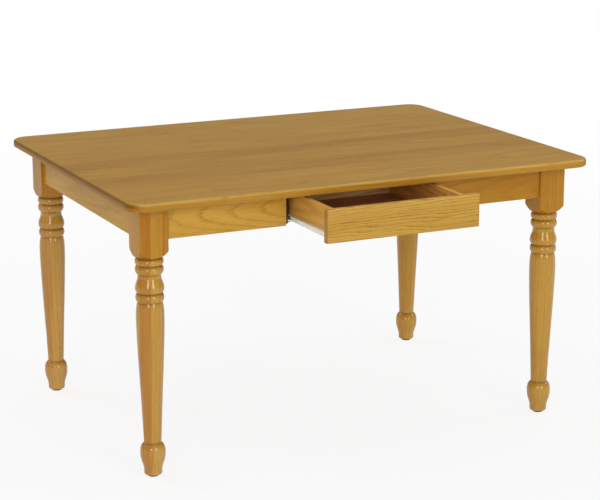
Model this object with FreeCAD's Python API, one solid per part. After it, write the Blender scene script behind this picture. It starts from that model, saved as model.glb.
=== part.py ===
"""Dining table with four turned legs and one drawer in its front apron.

Millimetres. X runs along the table's length, the drawer opens towards -Y and +Z is up.
The origin lies on the floor, under the middle of the outline with the drawer drawn out.
"""
import FreeCAD
import Part
import math
import os

# Top, edge-glued from boards that run along the length
LENGTH = 1372.0
DEPTH = 1016.0
HEIGHT = 762.0
TOP_T = 22.0
TOP_BOARDS = 9
TOP_CORNER_R = 50.0
TOP_UPPER_R = 8.0
TOP_LOWER_R = 4.0

# Legs, turned below a square block
OVERHANG_X = 46.0
OVERHANG_Y = 70.0
LEG_SQ = 79.0
LEG_ARRIS_R = 1.5
BLOCK_H = 120.0
POMMEL_H = 23.0
CAP_BEAD_H = 20.0
BEAD_H = 24.0
VASE_H = 50.0
COLLAR_H = 24.0
FOOT_H = 88.0
BEAD_INSET = 1.8
BEAD_DEPTH = 4.6
VASE_INSET = 1.3
NECK_DEPTH = 7.6
SHAFT_INSET = 2.2
SHAFT_TAPER = 14.0
BALL_INSET = 5.8
ANKLE_DEPTH = 9.5
FOOT_CHAMFER = 2.0

# Height share and swell share: how far each point stands out between its thin and its thick radius
ANKLE_SHARES = ((0.03, 0.0), (0.12, 0.01), (0.22, 0.11), (0.33, 0.39), (0.44, 0.72), (0.56, 0.94))
BALL_SHARES = ((0.68, 1.0), (0.84, 0.87), (0.92, 0.58), (0.97, 0.22), (1.0, 0.0))
SHAFT_SHARES = ((0.0, 0.0), (0.15, 0.17), (0.33, 0.39), (0.53, 0.66), (0.72, 0.89), (0.87, 1.0),
                (0.94, 0.96), (0.975, 0.85), (1.0, 0.7))
VASE_SHARES = ((0.0, 0.33), (0.12, 0.85), (0.26, 1.0), (0.44, 0.82), (0.62, 0.39), (0.78, 0.08),
               (0.9, 0.0), (1.0, 0.08))
POMMEL_REACH_SHARE = 0.72
POMMEL_SWELL_SHARE = 0.61

# Glides under the feet
GLIDE_R = 15.0
GLIDE_T = 6.0
GLIDE_CHAMFER = 1.5
NAIL_R = 1.8
NAIL_BITE = 20.0
NAIL_HEAD_R = 4.5
NAIL_HEAD_T = 1.5
NAIL_RECESS = 2.5

# Aprons and the two rails that carry the drawer
APRON_SETBACK = 8.0
APRON_H = 93.0
APRON_T = 20.0
APRON_ARRIS_R = 1.5
RAIL_T = 34.0
RAIL_INSET = 14.0
RAIL_LIP = 2.5
DOWEL_R = 4.0
DOWEL_SKIN = 8.0
DOWEL_RAIL_DEPTH = 18.0
DOWEL_SHARES = (0.28, 0.72)

# Corner blocks with their hanger bolts and screws
CHAMFER_DEPTH = 17.0
CORNER_GAP = 8.0
CORNER_T = 28.0
CORNER_LOW_EDGE = 12.0
CORNER_TOP_EDGE = 6.0
HANGER_R = 4.0
HANGER_BITE = 36.0
HANGER_END = 5.0
HANGER_SHARES = (0.3, 0.7)
WASHER_R = 9.0
WASHER_T = 1.6
NUT_FLATS = 13.0
NUT_T = 6.5
CORNER_SCREW_SHARES = (0.18, 0.82)
CORNER_SEAT_DEPTH = 6.0
CORNER_SEAT_GAP = 0.5
APRON_SKIN = 5.0

# Clips that hold the top to the aprons
CLIP_T = 1.6
CLIP_W = 19.0
CLIP_TONGUE = 9.0
CLIP_RISER = 3.5
CLIP_DROP = 11.0
CLIP_REACH = 34.0
CLIP_SCREW_EDGE = 10.0
KERF_END_GAP = 1.0
KERF_PLAY = 0.8
KERF_SIDE = 6.0
TOP_SKIN = 8.0

# Screws
SCREW_R = 2.0
SCREW_HEAD_R = 3.8
SCREW_HEAD_T = 1.4
SCREW_TIP = 3.0

# Drawer
OPENING_W = 449.0
FRONT_SIDE_GAP = 2.0
FRONT_TOP_GAP = 2.0
FRONT_LIFT = 4.0
FRONT_T = 19.0
FRONT_ARRIS_R = 1.5
DRAWER_OUT = 240.0
SIDE_T = 13.0
SIDE_LIFT = 2.7
SIDE_DROP = 5.5
SIDE_ARRIS_R = 2.0
DADO_D = 6.0
BACK_T = 13.0
BACK_INSET = 7.0
BACK_DROP = 3.0
BOTTOM_T = 3.2
BOTTOM_LIFT = 4.2

# Roller slides: a channel on each rail and a runner under each drawer side
SLIDE_L = 425.0
SLIDE_GAP = 13.0
SLIDE_T = 1.2
SLIDE_END_GAP = 2.0
CHANNEL_GAP = 2.3
RUNNER_GAP = 2.5
RUNNER_H = 17.0
RUNNER_EDGE = 1.0
RUNNER_RISE = 1.0
ROLLER_R = 7.0
ROLLER_EDGE_R = 0.8
ROLLER_SIDE_GAP = 2.0
ROLLER_END = 11.0
AXLE_R = 2.5
AXLE_HEAD_R = 4.0
AXLE_HEAD_T = 0.9
CHANNEL_SCREW_SHARES = (0.14, 0.5, 0.9)
RUNNER_SCREW_SHARES = (0.1, 0.5, 0.86)
RUNNER_SCREW_SKIN = 1.5
RUNNER_SCREW_LIFT = 10.3
RAIL_SKIN = 19.0

# Clearances
FIXED_FIT = 0.05
AXLE_FIT = 0.06
ROLLER_FIT = 0.3
PANEL_FIT = 0.2
OVERRUN = 20.0

# Levels
TOP_Z = HEIGHT - TOP_T
APRON_Z = TOP_Z - APRON_H
FRONT_Z = APRON_Z + FRONT_LIFT
FRONT_TOP_Z = TOP_Z - FRONT_TOP_GAP
SIDE_Z = FRONT_Z + SIDE_LIFT
SIDE_TOP_Z = FRONT_TOP_Z - SIDE_DROP
BOTTOM_Z = SIDE_Z + BOTTOM_LIFT
RUNNER_Z = SIDE_Z - SLIDE_T
RUNNER_TOP_Z = RUNNER_Z + RUNNER_H
CHANNEL_H = 2 * (ROLLER_R + ROLLER_FIT + SLIDE_T)
CHANNEL_TOP_Z = RUNNER_TOP_Z - SLIDE_T - ROLLER_FIT - RUNNER_RISE
CHANNEL_Z = CHANNEL_TOP_Z - CHANNEL_H
FRONT_ROLLER_Z = CHANNEL_TOP_Z + RUNNER_RISE - ROLLER_R
REAR_ROLLER_Z = CHANNEL_Z + CHANNEL_H / 2
RAIL_Z = CHANNEL_Z - RAIL_LIP
CORNER_Z = APRON_Z + CORNER_LOW_EDGE
CORNER_H = APRON_H - CORNER_LOW_EDGE - CORNER_TOP_EDGE

# Places in plan, as distances from the table's own middle
BOARD_W = DEPTH / TOP_BOARDS
LEG_X = LENGTH / 2 - OVERHANG_X - LEG_SQ / 2
LEG_Y = DEPTH / 2 - OVERHANG_Y - LEG_SQ / 2
LEG_IN_X = LEG_X - LEG_SQ / 2
LEG_IN_Y = LEG_Y - LEG_SQ / 2
APRON_X = LEG_X + LEG_SQ / 2 - APRON_SETBACK
APRON_Y = LEG_Y + LEG_SQ / 2 - APRON_SETBACK
APRON_IN_X = APRON_X - APRON_T
APRON_IN_Y = APRON_Y - APRON_T
OPENING_X = OPENING_W / 2
RAIL_X = OPENING_X - RAIL_INSET
BOX_X = RAIL_X - SLIDE_GAP
BOX_IN_X = BOX_X - SIDE_T
FRONT_X = OPENING_X - FRONT_SIDE_GAP
FRONT_Y = -APRON_Y - DRAWER_OUT
FRONT_BACK_Y = FRONT_Y + FRONT_T
BOX_END_Y = FRONT_BACK_Y + SLIDE_L
CHANNEL_Y = -APRON_IN_Y + SLIDE_END_GAP
CHANNEL_L = SLIDE_L - SLIDE_END_GAP

# The drawer drawn out reaches past the top, so the outline's middle lies before the table's middle
TABLE_Y = (max(-FRONT_Y, DEPTH / 2) - DEPTH / 2) / 2

CORNERS = (("front_left", -1, -1), ("front_right", 1, -1), ("back_left", -1, 1), ("back_right", 1, 1))
SIDES = (("left", -1), ("right", 1))
X_AXIS = FreeCAD.Vector(1, 0, 0)
Y_AXIS = FreeCAD.Vector(0, 1, 0)
Z_AXIS = FreeCAD.Vector(0, 0, 1)


def box(x0, x1, y0, y1, z0, z1):
    return Part.makeBox(x1 - x0, y1 - y0, z1 - z0, FreeCAD.Vector(x0, y0, z0))


def rod(start, direction, length, radius):
    return Part.makeCylinder(radius, length, start, direction)


def prism(points, direction):
    return Part.Face(Part.makePolygon(list(points) + [points[0]])).extrude(direction)


def mirrored(shape, sx, sy=1):
    """Copies a piece of the back right quarter to another quarter."""
    if sx < 0:
        shape = shape.mirror(FreeCAD.Vector(), X_AXIS)
    if sy < 0:
        shape = shape.mirror(FreeCAD.Vector(), Y_AXIS)
    return shape


def rounded(shape, radius, chosen):
    """Rounds the edges whose bounding boxes are chosen."""
    return shape.makeFillet(radius, [edge for edge in shape.Edges if chosen(edge.BoundBox)])


def screw(seat, direction, length):
    """Pan-head wood screw: the seat is the underside of its head, and the direction leads to its tip."""
    shank = rod(seat, direction, length - SCREW_TIP, SCREW_R)
    tip = Part.makeCone(SCREW_R, 0, SCREW_TIP, seat + direction * (length - SCREW_TIP), direction)
    crown = seat - direction * SCREW_HEAD_T
    head = Part.makeCone(SCREW_HEAD_R - SCREW_HEAD_T, SCREW_HEAD_R, SCREW_HEAD_T, crown, direction)
    return shank.fuse([tip, head]).removeSplitter()


def screw_hole(seat, direction, length):
    return rod(seat - direction * OVERRUN, direction, OVERRUN + length, SCREW_R + FIXED_FIT)


def drilled(shape, holes):
    return shape.cut(list(holes)) if holes else shape


def save(name, shapes):
    """Writes one piece, or a group of like pieces, at its place over the origin."""
    solids = [solid for shape in shapes for solid in shape.Solids]
    shape = solids[0] if len(solids) == 1 else Part.makeCompound(solids)
    shape.translate(Y_AXIS * TABLE_Y)
    shape.exportStep(os.path.join("parts", name + ".step"))


# Top


def top_slab():
    """Whole top with rounded corners and both long arrises rounded over."""
    slab = box(-LENGTH / 2, LENGTH / 2, -DEPTH / 2, DEPTH / 2, TOP_Z, HEIGHT)
    slab = rounded(slab, TOP_CORNER_R, lambda b: b.ZLength > b.XLength + b.YLength)
    slab = rounded(slab, TOP_UPPER_R, lambda b: b.ZMin > HEIGHT - TOP_T / 2)
    return rounded(slab, TOP_LOWER_R, lambda b: b.ZMax < HEIGHT - TOP_T / 2)


def top_boards(holes):
    """The boards from front to back, with the pilot holes of the clip screws."""
    slab = drilled(top_slab(), holes)
    boards = []
    for index in range(TOP_BOARDS):
        low = index * BOARD_W - DEPTH / 2
        strip = box(-LENGTH, LENGTH, low, low + BOARD_W, 0, HEIGHT + OVERRUN)
        boards.append(slab.common(strip))
    return boards


# Legs


def turned_profile():
    """Half outline of the leg, from the glide up, as edges in the XZ plane."""
    half = LEG_SQ / 2
    bead_r = half - BEAD_INSET
    groove_r = bead_r - BEAD_DEPTH
    vase_r = half - VASE_INSET
    shaft_r = half - SHAFT_INSET
    thin_r = shaft_r - SHAFT_TAPER
    ball_r = half - BALL_INSET
    ankle_r = ball_r - ANKLE_DEPTH
    block_z = TOP_Z - BLOCK_H
    pommel_z = block_z - POMMEL_H
    cap_z = pommel_z - CAP_BEAD_H
    bead_z = cap_z - BEAD_H
    vase_z = bead_z - VASE_H
    collar_z = vase_z - COLLAR_H
    shaft_z = GLIDE_T + FOOT_H
    pommel_r = LEG_SQ * POMMEL_REACH_SHARE

    def at(radius, z):
        return FreeCAD.Vector(radius, 0, z)

    def swell(shares, low, height, thin, thick):
        return [at(thin + b * (thick - thin), low + a * height) for a, b in shares]

    def curve(points):
        spline = Part.BSplineCurve()
        spline.interpolate(points)
        return spline.toShape()

    def bead(start, thick, end):
        middle = at(thick, (start.z + end.z) / 2)
        return Part.Arc(start, middle, end).toShape()

    foot = swell(ANKLE_SHARES, GLIDE_T, FOOT_H, ankle_r, ball_r)
    foot += swell(BALL_SHARES, GLIDE_T, FOOT_H, thin_r, ball_r)
    shaft = swell(SHAFT_SHARES, shaft_z, collar_z - shaft_z, thin_r, shaft_r)
    vase = swell(VASE_SHARES, vase_z, VASE_H, vase_r - NECK_DEPTH, vase_r)
    cap_start = at(groove_r, cap_z)
    cap_end = at(groove_r, pommel_z)
    block_start = at(pommel_r, block_z)
    swell_r = groove_r + POMMEL_SWELL_SHARE * (pommel_r - groove_r)
    corners = [at(pommel_r, TOP_Z), at(0, TOP_Z), at(0, GLIDE_T), at(ankle_r - FOOT_CHAMFER, GLIDE_T)]
    edges = [curve(foot), curve(shaft)]
    edges.append(bead(shaft[-1], bead_r, vase[0]))
    edges.append(curve(vase))
    edges.append(bead(vase[-1], bead_r, cap_start))
    edges.append(bead(cap_start, bead_r, cap_end))
    edges.append(bead(cap_end, swell_r, block_start))
    outline = [block_start] + corners + [foot[0]]
    edges += [Part.makeLine(a, b) for a, b in zip(outline, outline[1:])]
    return edges


def turned_leg(holes):
    """Back right leg: turned blank cut to the square block, with a flat for its hanger bolts."""
    half = LEG_SQ / 2
    turned = Part.Face(Part.Wire(Part.__sortEdges__(turned_profile())))
    turned = turned.revolve(FreeCAD.Vector(), Z_AXIS, 360)
    turned.translate(FreeCAD.Vector(LEG_X, LEG_Y, 0))
    blank = box(LEG_X - half, LEG_X + half, LEG_Y - half, LEG_Y + half, 0, TOP_Z)
    blank = rounded(blank, LEG_ARRIS_R, lambda b: b.ZLength > LEG_SQ)
    leg = turned.common(blank)
    flat = CHAMFER_DEPTH * math.sqrt(2)
    corner = FreeCAD.Vector(LEG_IN_X, LEG_IN_Y, APRON_Z)
    points = [corner, corner + X_AXIS * flat, corner + Y_AXIS * flat]
    leg = leg.cut(prism(points, Z_AXIS * APRON_H))
    nail = rod(FreeCAD.Vector(LEG_X, LEG_Y, 0), Z_AXIS, GLIDE_T + NAIL_BITE, NAIL_R + FIXED_FIT)
    return drilled(leg, list(holes) + [nail])


def glide():
    """Back right glide with a recess for the head of its nail."""
    centre = FreeCAD.Vector(LEG_X, LEG_Y, 0)
    pad = rod(centre, Z_AXIS, GLIDE_T, GLIDE_R)
    pad = pad.makeChamfer(GLIDE_CHAMFER, [edge for edge in pad.Edges if edge.BoundBox.ZMax < GLIDE_T / 2])
    hole = rod(centre, Z_AXIS, GLIDE_T, NAIL_R + FIXED_FIT)
    recess = rod(centre, Z_AXIS, NAIL_RECESS, NAIL_HEAD_R + FIXED_FIT)
    return pad.cut([hole, recess])


def glide_nail():
    seat = FreeCAD.Vector(LEG_X, LEG_Y, NAIL_RECESS)
    shank = rod(seat, Z_AXIS, GLIDE_T - NAIL_RECESS + NAIL_BITE, NAIL_R)
    head = rod(seat - Z_AXIS * NAIL_HEAD_T, Z_AXIS, NAIL_HEAD_T, NAIL_HEAD_R)
    return shank.fuse(head)


# Corner blocks


DIAGONAL = FreeCAD.Vector(1, 1, 0).normalize()
LEG_CORNER = FreeCAD.Vector(LEG_IN_X, LEG_IN_Y, 0)
FLAT_AT = CHAMFER_DEPTH
BLOCK_AT = FLAT_AT - CORNER_GAP
INNER_AT = BLOCK_AT - CORNER_T


def diagonal_sum(distance):
    """X plus Y on the plane that stands this far outwards from the leg's inner corner."""
    return LEG_IN_X + LEG_IN_Y + distance * math.sqrt(2)


def corner_block(holes):
    """Back right block that spans the two aprons across the leg's flat."""
    outer = diagonal_sum(BLOCK_AT)
    inner = diagonal_sum(INNER_AT)
    points = [FreeCAD.Vector(APRON_IN_X, outer - APRON_IN_X, CORNER_Z),
              FreeCAD.Vector(outer - APRON_IN_Y, APRON_IN_Y, CORNER_Z),
              FreeCAD.Vector(inner - APRON_IN_Y, APRON_IN_Y, CORNER_Z),
              FreeCAD.Vector(APRON_IN_X, inner - APRON_IN_X, CORNER_Z)]
    return drilled(prism(points, Z_AXIS * CORNER_H), holes)


def hanger_points():
    """Where each hanger bolt crosses the leg's inner corner."""
    return [LEG_CORNER + Z_AXIS * (CORNER_Z + share * CORNER_H) for share in HANGER_SHARES]


def hanger_bolts(extra=0):
    length = FLAT_AT + HANGER_BITE - INNER_AT + WASHER_T + NUT_T + HANGER_END
    tail = INNER_AT - WASHER_T - NUT_T - HANGER_END
    return [rod(p + DIAGONAL * tail, DIAGONAL, length, HANGER_R + extra) for p in hanger_points()]


def hanger_washers():
    washers = []
    for point in hanger_points():
        start = point + DIAGONAL * (INNER_AT - WASHER_T)
        ring = rod(start, DIAGONAL, WASHER_T, WASHER_R)
        washers.append(ring.cut(rod(start, DIAGONAL, WASHER_T, HANGER_R + FIXED_FIT)))
    return washers


def hanger_nuts():
    nuts = []
    reach = NUT_FLATS / math.sqrt(3)
    level = DIAGONAL.cross(Z_AXIS)
    for point in hanger_points():
        start = point + DIAGONAL * (INNER_AT - WASHER_T - NUT_T)
        turns = [math.radians(60 * k) for k in range(6)]
        points = [start + level * reach * math.cos(a) + Z_AXIS * reach * math.sin(a) for a in turns]
        hexagon = prism(points, DIAGONAL * NUT_T)
        nuts.append(hexagon.cut(rod(start, DIAGONAL, NUT_T, HANGER_R + FIXED_FIT)))
    return nuts


def corner_screws():
    """Seat, direction and length of the screws that hold the back right block to its aprons."""
    outer = diagonal_sum(BLOCK_AT)
    inner = diagonal_sum(INNER_AT)
    along_y = (outer + inner) / 2 - APRON_IN_X
    along_x = (outer + inner) / 2 - APRON_IN_Y
    seat_x = inner - along_y + CORNER_SEAT_DEPTH
    seat_y = inner - along_x + CORNER_SEAT_DEPTH
    bite = APRON_T - APRON_SKIN
    screws = []
    for share in CORNER_SCREW_SHARES:
        z = CORNER_Z + share * CORNER_H
        screws.append((FreeCAD.Vector(seat_x, along_y, z), X_AXIS, APRON_IN_X - seat_x + bite))
        screws.append((FreeCAD.Vector(along_x, seat_y, z), Y_AXIS, APRON_IN_Y - seat_y + bite))
    return screws


def corner_seats():
    """Round seats that let the screw heads into the slanting face of the block."""
    seat_r = SCREW_HEAD_R + CORNER_SEAT_GAP
    places = [(seat - direction * OVERRUN, direction) for seat, direction, _ in corner_screws()]
    return [rod(start, direction, OVERRUN, seat_r) for start, direction in places]


# Top clips


def clip_places():
    """Apron, place on its inner face under the top, and the turn that faces inwards."""
    clear_x = (RAIL_X + RAIL_T + diagonal_sum(INNER_AT) - APRON_IN_Y) / 2
    places = []
    for side, sx in SIDES:
        places += [("apron_" + side, sx * APRON_IN_X, y, 90 + 90 * sx) for y in (-BOARD_W, BOARD_W)]
        places.append(("apron_front_" + side, sx * clear_x, -APRON_IN_Y, 90))
    places += [("apron_back", x, APRON_IN_Y, -90) for x in (-clear_x, 0, clear_x)]
    return places


def at_apron(shape, x, y, turn):
    """Moves a piece made at an inner face that looks along +X to its place on an apron."""
    shape.rotate(FreeCAD.Vector(), Z_AXIS, turn)
    shape.translate(FreeCAD.Vector(x, y, TOP_Z))
    return shape


CLIP_SEAT = FreeCAD.Vector(CLIP_REACH - CLIP_SCREW_EDGE, 0, -CLIP_T)


def top_clip():
    """Bent strip: its tongue lies in the apron's kerf and its plate under the top."""
    inside = CLIP_RISER - CLIP_T
    low = -CLIP_DROP - CLIP_T
    outline = ((-CLIP_TONGUE, low), (CLIP_RISER, low), (CLIP_RISER, -CLIP_T), (CLIP_REACH, -CLIP_T),
               (CLIP_REACH, 0), (inside, 0), (inside, -CLIP_DROP), (-CLIP_TONGUE, -CLIP_DROP))
    strip = prism([FreeCAD.Vector(x, -CLIP_W / 2, z) for x, z in outline], Y_AXIS * CLIP_W)
    return strip.cut(rod(CLIP_SEAT, Z_AXIS, CLIP_T, SCREW_R + FIXED_FIT))


def clip_screw():
    return screw(CLIP_SEAT, Z_AXIS, CLIP_T + TOP_T - TOP_SKIN)


def clip_pilot():
    return screw_hole(CLIP_SEAT, Z_AXIS, CLIP_T + TOP_T - TOP_SKIN)


def clip_kerf():
    half = CLIP_W / 2 + KERF_SIDE
    low = -CLIP_DROP - CLIP_T - KERF_PLAY
    return box(-CLIP_TONGUE - KERF_END_GAP, OVERRUN, -half, half, low, -CLIP_DROP)


# Aprons and rails


def apron_blanks():
    """The five aprons before any joint is cut."""
    return {
        "apron_left": box(-APRON_X, -APRON_IN_X, -LEG_IN_Y, LEG_IN_Y, APRON_Z, TOP_Z),
        "apron_right": box(APRON_IN_X, APRON_X, -LEG_IN_Y, LEG_IN_Y, APRON_Z, TOP_Z),
        "apron_back": box(-LEG_IN_X, LEG_IN_X, APRON_IN_Y, APRON_Y, APRON_Z, TOP_Z),
        "apron_front_left": box(-LEG_IN_X, -OPENING_X, -APRON_Y, -APRON_IN_Y, APRON_Z, TOP_Z),
        "apron_front_right": box(OPENING_X, LEG_IN_X, -APRON_Y, -APRON_IN_Y, APRON_Z, TOP_Z),
    }


def eased_apron(blank):
    """Rounds the two long lower arrises."""
    return rounded(blank, APRON_ARRIS_R, lambda b: b.ZMax < TOP_Z and max(b.XLength, b.YLength) > APRON_T
                   and b.ZLength < APRON_T)


def rail(holes):
    """Right rail, from the front apron to the back one, with its inner face past the apron's end."""
    return drilled(box(RAIL_X, RAIL_X + RAIL_T, -APRON_IN_Y, APRON_IN_Y, RAIL_Z, TOP_Z), holes)


def rail_dowels(extra=0):
    """Dowels at both ends of the right rail, in the part of it that lies behind the apron."""
    into_apron = APRON_T - DOWEL_SKIN
    x = OPENING_X + (RAIL_T - RAIL_INSET) / 2
    dowels = []
    for share in DOWEL_SHARES:
        for sy in (-1, 1):
            start = FreeCAD.Vector(x, sy * (APRON_IN_Y - DOWEL_RAIL_DEPTH), RAIL_Z + share * (TOP_Z - RAIL_Z))
            dowels.append(rod(start, Y_AXIS * sy, DOWEL_RAIL_DEPTH + into_apron, DOWEL_R + extra))
    return dowels


# Slides


def channel_screws():
    """Seat, direction and length of the screws of the right channel."""
    x = RAIL_X - SLIDE_T
    z = CHANNEL_Z + CHANNEL_H / 2
    places = [CHANNEL_Y + share * CHANNEL_L for share in CHANNEL_SCREW_SHARES]
    return [(FreeCAD.Vector(x, y, z), X_AXIS, SLIDE_T + RAIL_T - RAIL_SKIN) for y in places]


def runner_screws():
    """Seat, direction and length of the screws of the right runner."""
    z = SIDE_Z + RUNNER_SCREW_LIFT
    places = [FRONT_BACK_Y + share * SLIDE_L for share in RUNNER_SCREW_SHARES]
    length = SLIDE_T + SIDE_T - RUNNER_SCREW_SKIN
    return [(FreeCAD.Vector(BOX_X + SLIDE_T, y, z), -X_AXIS, length) for y in places]


FRONT_AXLE = FreeCAD.Vector(RAIL_X, CHANNEL_Y + ROLLER_END, FRONT_ROLLER_Z)
REAR_AXLE = FreeCAD.Vector(BOX_X, BOX_END_Y - SLIDE_END_GAP - ROLLER_END, REAR_ROLLER_Z)
ROLLER_W = SLIDE_GAP - 2 * SLIDE_T - 2 * ROLLER_SIDE_GAP
ROLLER_AT = SLIDE_T + ROLLER_SIDE_GAP
AXLE_HEAD_AT = ROLLER_AT + ROLLER_W - AXLE_HEAD_T


def channel():
    """Right channel, open to the drawer, with its upper lip cut back over the front roller."""
    lip_x = RAIL_X - SLIDE_GAP + SLIDE_T + CHANNEL_GAP
    web_x = RAIL_X - SLIDE_T
    low = CHANNEL_Z + SLIDE_T
    high = CHANNEL_TOP_Z - SLIDE_T
    outline = ((RAIL_X, CHANNEL_Z), (lip_x, CHANNEL_Z), (lip_x, low), (web_x, low),
               (web_x, high), (lip_x, high), (lip_x, CHANNEL_TOP_Z), (RAIL_X, CHANNEL_TOP_Z))
    bar = prism([FreeCAD.Vector(x, CHANNEL_Y, z) for x, z in outline], Y_AXIS * CHANNEL_L)
    notch_y = FRONT_AXLE.y + ROLLER_R + ROLLER_SIDE_GAP
    notch = box(lip_x - OVERRUN, web_x, CHANNEL_Y - OVERRUN, notch_y, FRONT_ROLLER_Z, CHANNEL_TOP_Z + OVERRUN)
    axle_hole = rod(FRONT_AXLE, -X_AXIS, SLIDE_T, AXLE_R + FIXED_FIT)
    return bar.cut([notch, axle_hole] + [screw_hole(*place) for place in channel_screws()])


def runner():
    """Right runner: a foot under the drawer side, a web beside it and a flange over the roller."""
    foot_x = BOX_IN_X + RUNNER_EDGE
    web_x = BOX_X + SLIDE_T
    flange_x = RAIL_X - RUNNER_GAP
    high = RUNNER_TOP_Z - SLIDE_T
    outline = ((foot_x, RUNNER_Z), (web_x, RUNNER_Z), (web_x, high), (flange_x, high),
               (flange_x, RUNNER_TOP_Z), (BOX_X, RUNNER_TOP_Z), (BOX_X, SIDE_Z), (foot_x, SIDE_Z))
    length = SLIDE_L - SLIDE_END_GAP
    bar = prism([FreeCAD.Vector(x, FRONT_BACK_Y, z) for x, z in outline], Y_AXIS * length)
    axle_hole = rod(REAR_AXLE, X_AXIS, SLIDE_T, AXLE_R + FIXED_FIT)
    return bar.cut([axle_hole] + [screw_hole(*place) for place in runner_screws()])


def roller(axle, direction):
    """Roller on its axle, with a recess for the axle's head."""
    wheel = rod(axle + direction * ROLLER_AT, direction, ROLLER_W, ROLLER_R)
    wheel = rounded(wheel, ROLLER_EDGE_R, lambda b: b.XLength < ROLLER_W / 2 and b.ZLength > ROLLER_R)
    bore = rod(axle + direction * ROLLER_AT, direction, ROLLER_W, AXLE_R + AXLE_FIT)
    recess_start = axle + direction * (AXLE_HEAD_AT - ROLLER_FIT)
    recess = rod(recess_start, direction, OVERRUN, AXLE_HEAD_R + ROLLER_FIT)
    return wheel.cut([bore, recess])


def roller_axle(axle, direction):
    shank = rod(axle, direction, AXLE_HEAD_AT, AXLE_R)
    return shank.fuse(rod(axle + direction * AXLE_HEAD_AT, direction, AXLE_HEAD_T, AXLE_HEAD_R))


# Drawer


def bottom_groove(reach_x, y0, y1):
    return box(-reach_x, reach_x, y0, y1, BOTTOM_Z, BOTTOM_Z + BOTTOM_T + PANEL_FIT)


def drawer_front():
    """Front with a stopped dado for each side and a groove for the bottom."""
    front = box(-FRONT_X, FRONT_X, FRONT_Y, FRONT_BACK_Y, FRONT_Z, FRONT_TOP_Z)
    front = rounded(front, FRONT_ARRIS_R, lambda b: b.YMax < FRONT_Y + FRONT_T / 2)
    dado = box(BOX_IN_X, BOX_X, FRONT_BACK_Y - DADO_D, FRONT_BACK_Y, SIDE_Z, SIDE_TOP_Z)
    groove = bottom_groove(BOX_IN_X + DADO_D, FRONT_BACK_Y - DADO_D, FRONT_BACK_Y)
    return front.cut([dado, mirrored(dado, -1), groove])


def drawer_side():
    """Right side with its groove, its dado for the back and the pilot holes of the runner."""
    side = box(BOX_IN_X, BOX_X, FRONT_BACK_Y - DADO_D, BOX_END_Y, SIDE_Z, SIDE_TOP_Z)
    side = rounded(side, SIDE_ARRIS_R, lambda b: b.ZMin > SIDE_Z and b.YLength > SIDE_T)
    groove = bottom_groove(BOX_IN_X + DADO_D, FRONT_BACK_Y - OVERRUN, BOX_END_Y)
    back_y = BOX_END_Y - BACK_INSET - BACK_T
    dado = box(0, BOX_IN_X + DADO_D, back_y, back_y + BACK_T, BOTTOM_Z, SIDE_TOP_Z)
    return side.cut([groove, dado] + [screw_hole(*place) for place in runner_screws()])


def drawer_back():
    back_y = BOX_END_Y - BACK_INSET - BACK_T
    reach_x = BOX_IN_X + DADO_D
    return box(-reach_x, reach_x, back_y, back_y + BACK_T, BOTTOM_Z + BOTTOM_T, SIDE_TOP_Z - BACK_DROP)


def drawer_bottom():
    reach_x = BOX_IN_X + DADO_D - PANEL_FIT
    front_y = FRONT_BACK_Y - DADO_D + PANEL_FIT
    return box(-reach_x, reach_x, front_y, BOX_END_Y - BACK_INSET, BOTTOM_Z, BOTTOM_Z + BOTTOM_T)


# Assembly


os.makedirs("parts", exist_ok=True)
corner_holes = [screw_hole(*place) for place in corner_screws()]
bolt_holes = hanger_bolts(FIXED_FIT)
dowel_holes = rail_dowels(FIXED_FIT)
channel_holes = [screw_hole(*place) for place in channel_screws()]

# The top and its clips
clips = [at_apron(top_clip(), *place) for _, *place in clip_places()]
clip_screws = [at_apron(clip_screw(), *place) for _, *place in clip_places()]
clip_pilots = [at_apron(clip_pilot(), *place) for _, *place in clip_places()]
for number, board in enumerate(top_boards(clip_pilots), 1):
    save("top_board_%d" % number, [board])
save("top_clips", clips)
save("top_clip_screws", clip_screws)

# The legs, their glides and the corner blocks
leg = turned_leg(bolt_holes)
block = corner_block(bolt_holes + corner_holes + corner_seats())
for corner, sx, sy in CORNERS:
    save("leg_" + corner, [mirrored(leg, sx, sy)])
    save("glide_" + corner, [mirrored(glide(), sx, sy)])
    save("corner_block_" + corner, [mirrored(block, sx, sy)])
corner_groups = {
    "glide_nails": [glide_nail()],
    "hanger_bolts": hanger_bolts(),
    "hanger_washers": hanger_washers(),
    "hanger_nuts": hanger_nuts(),
    "corner_block_screws": [screw(*place) for place in corner_screws()],
}
for name, group in corner_groups.items():
    save(name, [mirrored(piece, sx, sy) for piece in group for _, sx, sy in CORNERS])

# The aprons and the drawer rails
apron_holes = [mirrored(hole, sx, sy) for hole in corner_holes for _, sx, sy in CORNERS]
apron_holes += [mirrored(hole, sx) for hole in dowel_holes for _, sx in SIDES]
for name, blank in apron_blanks().items():
    kerfs = [at_apron(clip_kerf(), *place) for apron, *place in clip_places() if apron == name]
    save(name, [drilled(eased_apron(blank), apron_holes + kerfs)])
for side, sx in SIDES:
    save("drawer_rail_" + side, [mirrored(rail(dowel_holes + channel_holes), sx)])
save("rail_dowels", [mirrored(dowel, sx) for dowel in rail_dowels() for _, sx in SIDES])

# The slides
for side, sx in SIDES:
    save("slide_channel_" + side, [mirrored(channel(), sx)])
    save("slide_runner_" + side, [mirrored(runner(), sx)])
    save("front_roller_" + side, [mirrored(roller(FRONT_AXLE, -X_AXIS), sx)])
    save("rear_roller_" + side, [mirrored(roller(REAR_AXLE, X_AXIS), sx)])
slide_groups = {
    "front_roller_axles": [roller_axle(FRONT_AXLE, -X_AXIS)],
    "rear_roller_axles": [roller_axle(REAR_AXLE, X_AXIS)],
    "channel_screws": [screw(*place) for place in channel_screws()],
    "runner_screws": [screw(*place) for place in runner_screws()],
}
for name, group in slide_groups.items():
    save(name, [mirrored(piece, sx) for piece in group for _, sx in SIDES])

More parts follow.
